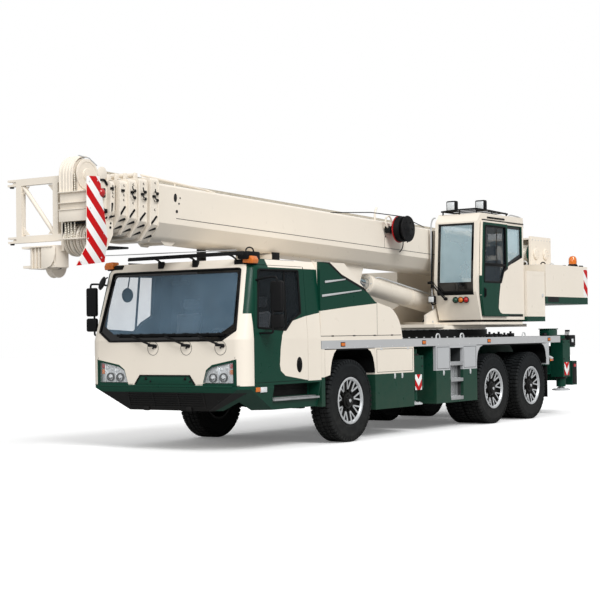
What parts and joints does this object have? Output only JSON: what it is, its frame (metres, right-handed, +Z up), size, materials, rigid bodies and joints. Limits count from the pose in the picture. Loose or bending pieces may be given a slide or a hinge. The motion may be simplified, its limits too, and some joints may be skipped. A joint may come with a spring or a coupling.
{
  "type": "mobile crane",
  "caption": "Truck-mounted mobile crane with a telescopic boom laid over the driver's cab, a slewing operator's cab, twin rear wheels and slide-out outriggers.",
  "frame": {"origin": "on the ground under the middle of the crane's length, on its centre line", "axes": "+X forward over the driver's cab, +Y to the driver's left, +Z up"},
  "size_m": [12.27, 3.18, 3.51],
  "materials": {
    "cream_paint": "gloss",
    "green_paint": "gloss",
    "black_paint": "satin",
    "grey_paint": "satin",
    "tyre_rubber": "matte",
    "rod_chrome": "polished",
    "cast_metal": "matte",
    "cab_glass": "clear",
    "dark_plastic": "matte",
    "seat_cloth": "matte",
    "lamp_glass": "clear"
  },
  "bodies": {
    "chassis": {"chassis_frame": "green_paint", "slewing_ring": "black_paint", "deck": "grey_paint", "side_lockers": "green_paint", "wheel_arches": "black_paint", "engine": "cast_metal", "leaf_springs": "black_paint", "drive_shafts": "black_paint", "axles": "cast_metal", "driver_cab": "cream_paint", "windscreen": "cab_glass", "headlights": "lamp_glass", "front_bumper": "green_paint", "dashboard": "dark_plastic", "cab_seats": "seat_cloth", "engine_hood": "cream_paint", "outrigger_boxes": "green_paint"},
    "left_knuckle": {"knuckle_left": "cast_metal"},
    "right_knuckle": {"knuckle_right": "cast_metal"},
    "left_door": {"driver_door_left": "green_paint", "door_glass_left": "cab_glass", "mirror_left": "dark_plastic"},
    "right_door": {"driver_door_right": "green_paint", "door_glass_right": "cab_glass", "mirror_right": "dark_plastic"},
    "superstructure": {"turntable": "cream_paint", "counterweight": "cream_paint", "winch_housing": "cream_paint", "winches": "black_paint", "machinery_boxes": "cream_paint", "operator_cab": "green_paint", "operator_cab_glass": "cab_glass", "operator_seat": "seat_cloth"},
    "operator_door": {"operator_door": "green_paint", "operator_door_glass": "cab_glass"},
    "boom_base": {"boom_section_1": "cream_paint", "cable_reel": "dark_plastic"},
    "boom_second": {"boom_section_2": "cream_paint"},
    "boom_third": {"boom_section_3": "cream_paint"},
    "boom_fourth": {"boom_section_4": "cream_paint"},
    "boom_fly": {"boom_section_5": "cream_paint", "boom_head": "cream_paint", "head_sheaves": "cream_paint"},
    "luff_barrel": {"luff_barrel": "cream_paint"},
    "luff_rod": {"luff_rod": "rod_chrome"},
    "wheel_front_left": {"wheel_front_left": "tyre_rubber"},
    "wheel_front_right": {"wheel_front_right": "tyre_rubber"},
    "wheel_second_left": {"wheel_second_left": "tyre_rubber"},
    "wheel_second_right": {"wheel_second_right": "tyre_rubber"},
    "wheel_third_left": {"wheel_third_left": "tyre_rubber"},
    "wheel_third_right": {"wheel_third_right": "tyre_rubber"},
    "beam_front_left": {"outrigger_beam_front_left": "green_paint"},
    "jack_front_left": {"jack_front_left": "rod_chrome"},
    "beam_front_right": {"outrigger_beam_front_right": "green_paint"},
    "jack_front_right": {"jack_front_right": "rod_chrome"},
    "beam_rear_left": {"outrigger_beam_rear_left": "green_paint"},
    "jack_rear_left": {"jack_rear_left": "rod_chrome"},
    "beam_rear_right": {"outrigger_beam_rear_right": "green_paint"},
    "jack_rear_right": {"jack_rear_right": "rod_chrome"}
  },
  "joints": [
    {"name": "steer_left", "type": "hinge", "parent": "chassis", "child": "left_knuckle", "pos_m": [1.925, 0.95, 0.546], "axis": [0, 0, 1], "range_deg": [-30, 30]},
    {"name": "steer_right", "type": "hinge", "parent": "chassis", "child": "right_knuckle", "pos_m": [1.925, -0.95, 0.546], "axis": [0, 0, 1], "range_deg": [-30, 30]},
    {"name": "roll_front_left", "type": "hinge", "parent": "left_knuckle", "child": "wheel_front_left", "pos_m": [1.925, 1.095, 0.546], "axis": [0, 1, 0], "continuous": true},
    {"name": "roll_front_right", "type": "hinge", "parent": "right_knuckle", "child": "wheel_front_right", "pos_m": [1.925, -1.095, 0.546], "axis": [0, 1, 0], "continuous": true},
    {"name": "roll_second_left", "type": "hinge", "parent": "chassis", "child": "wheel_second_left", "pos_m": [-2.23, 1.095, 0.546], "axis": [0, 1, 0], "continuous": true},
    {"name": "roll_second_right", "type": "hinge", "parent": "chassis", "child": "wheel_second_right", "pos_m": [-2.23, -1.095, 0.546], "axis": [0, 1, 0], "continuous": true},
    {"name": "roll_third_left", "type": "hinge", "parent": "chassis", "child": "wheel_third_left", "pos_m": [-3.58, 1.095, 0.546], "axis": [0, 1, 0], "continuous": true},
    {"name": "roll_third_right", "type": "hinge", "parent": "chassis", "child": "wheel_third_right", "pos_m": [-3.58, -1.095, 0.546], "axis": [0, 1, 0], "continuous": true},
    {"name": "open_left_door", "type": "hinge", "parent": "chassis", "child": "left_door", "pos_m": [4.07, 1.252, 1.4], "axis": [0, 0, -1], "range_deg": [0, 70]},
    {"name": "open_right_door", "type": "hinge", "parent": "chassis", "child": "right_door", "pos_m": [4.07, -1.252, 1.4], "axis": [0, 0, 1], "range_deg": [0, 70]},
    {"name": "slew", "type": "hinge", "parent": "chassis", "child": "superstructure", "pos_m": [-2.475, 0, 1.478], "axis": [0, 0, 1], "continuous": true},
    {"name": "slide_operator_door", "type": "slide", "parent": "superstructure", "child": "operator_door", "axis": [-1, 0, 0], "range_m": [0, 0.62]},
    {"name": "luff", "type": "hinge", "parent": "superstructure", "child": "boom_base", "pos_m": [-4.075, 0, 2.68], "axis": [0, -1, 0], "range_deg": [0, 76]},
    {"name": "luff_barrel_pivot", "type": "hinge", "parent": "superstructure", "child": "luff_barrel", "pos_m": [-2.975, 0, 1.8], "axis": [0, -1, 0], "range_deg": [0, 77.76]},
    {"name": "luff_rod_slide", "type": "slide", "parent": "luff_barrel", "child": "luff_rod", "axis": [0.9889, 0, 0.1483], "range_m": [0, 1.7311]},
    {"name": "extend_second", "type": "slide", "parent": "boom_base", "child": "boom_second", "axis": [0.9995, 0, 0.0314], "range_m": [0, 6.8]},
    {"name": "extend_third", "type": "slide", "parent": "boom_second", "child": "boom_third", "axis": [0.9995, 0, 0.0314], "range_m": [0, 6.8]},
    {"name": "extend_fourth", "type": "slide", "parent": "boom_third", "child": "boom_fourth", "axis": [0.9995, 0, 0.0314], "range_m": [0, 6.8]},
    {"name": "extend_fly", "type": "slide", "parent": "boom_fourth", "child": "boom_fly", "axis": [0.9995, 0, 0.0314], "range_m": [0, 6.8]},
    {"name": "extend_beam_front_left", "type": "slide", "parent": "chassis", "child": "beam_front_left", "axis": [0, 1, 0], "range_m": [0, 1.6]},
    {"name": "lower_jack_front_left", "type": "slide", "parent": "beam_front_left", "child": "jack_front_left", "axis": [0, 0, -1], "range_m": [0, 0.5]},
    {"name": "extend_beam_front_right", "type": "slide", "parent": "chassis", "child": "beam_front_right", "axis": [0, -1, 0], "range_m": [0, 1.6]},
    {"name": "lower_jack_front_right", "type": "slide", "parent": "beam_front_right", "child": "jack_front_right", "axis": [0, 0, -1], "range_m": [0, 0.5]},
    {"name": "extend_beam_rear_left", "type": "slide", "parent": "chassis", "child": "beam_rear_left", "axis": [0, 1, 0], "range_m": [0, 1.6]},
    {"name": "lower_jack_rear_left", "type": "slide", "parent": "beam_rear_left", "child": "jack_rear_left", "axis": [0, 0, -1], "range_m": [0, 0.5]},
    {"name": "extend_beam_rear_right", "type": "slide", "parent": "chassis", "child": "beam_rear_right", "axis": [0, -1, 0], "range_m": [0, 1.6]},
    {"name": "lower_jack_rear_right", "type": "slide", "parent": "beam_rear_right", "child": "jack_rear_right", "axis": [0, 0, -1], "range_m": [0, 0.5]}
  ],
  "couplings": [
    {"joint": "steer_right", "follows": "steer_left", "ratio": 1},
    {"joint": "luff_barrel_pivot", "follows": "luff", "ratio": 1.023},
    {"joint": "luff_rod_slide", "follows": "luff", "m_per_rad": 1.3047},
    {"joint": "extend_fourth", "follows": "extend_third", "ratio": 1},
    {"joint": "extend_fly", "follows": "extend_third", "ratio": 1}
  ]
}
